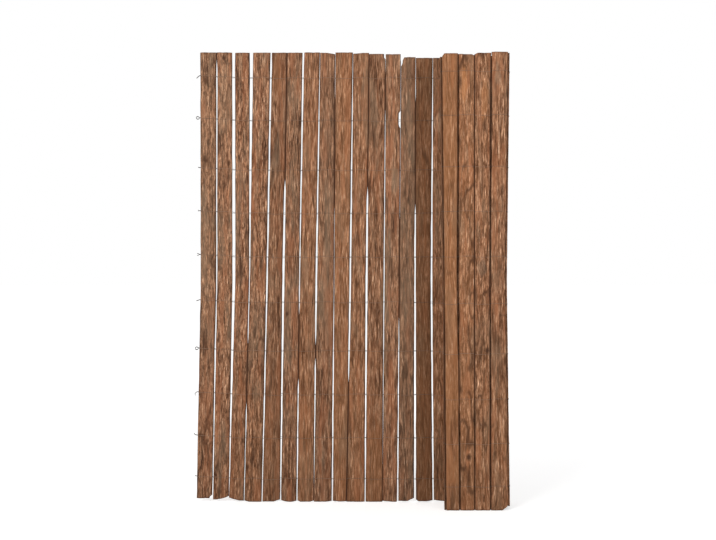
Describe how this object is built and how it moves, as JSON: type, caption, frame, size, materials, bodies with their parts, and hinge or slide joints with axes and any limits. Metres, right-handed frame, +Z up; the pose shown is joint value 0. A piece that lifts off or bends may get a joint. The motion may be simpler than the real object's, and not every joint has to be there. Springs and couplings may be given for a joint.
{
  "type": "bark screen fence",
  "caption": "Upright privacy screen of bark slats tied with rows of thin wire, its left part laid out flat and its right part wound into a flattened roll.",
  "frame": {"origin": "on the floor, under the middle of the screen's box", "axes": "+Z up along the slats, +X to the right along the flat part towards the roll, -Y the side that the roll stands out on"},
  "size_m": [1.266, 0.1682, 1.811],
  "materials": {
    "bark": "dry fibrous bark, matt, red-brown with grey streaks",
    "tie_wire": "dull galvanised wire"
  },
  "bodies": {
    "root": {"slat_01": "bark", "slat_02": "bark", "slat_03": "bark", "slat_04": "bark", "slat_05": "bark", "slat_06": "bark", "slat_07": "bark", "slat_08": "bark", "slat_09": "bark", "slat_10": "bark", "slat_11": "bark", "slat_12": "bark", "slat_13": "bark", "slat_14": "bark", "slat_15": "bark", "slat_16": "bark", "slat_17": "bark", "slat_18": "bark", "slat_19": "bark", "slat_20": "bark", "slat_21": "bark", "slat_22": "bark", "slat_23": "bark", "slat_24": "bark", "slat_25": "bark", "slat_26": "bark", "slat_27": "bark", "slat_28": "bark", "slat_29": "bark", "slat_30": "bark", "slat_31": "bark", "slat_32": "bark", "slat_33": "bark", "slat_34": "bark", "slat_35": "bark", "slat_36": "bark", "slat_37": "bark", "slat_38": "bark", "slat_39": "bark", "slat_40": "bark", "slat_41": "bark", "slat_42": "bark", "slat_43": "bark", "slat_44": "bark", "slat_45": "bark", "tie_wire_01": "tie_wire", "tie_wire_02": "tie_wire", "tie_wire_03": "tie_wire", "tie_wire_04": "tie_wire", "tie_wire_05": "tie_wire", "tie_wire_06": "tie_wire", "tie_wire_07": "tie_wire", "tie_wire_08": "tie_wire", "tie_wire_09": "tie_wire", "tie_wire_10": "tie_wire"}
  },
  "joints": []
}
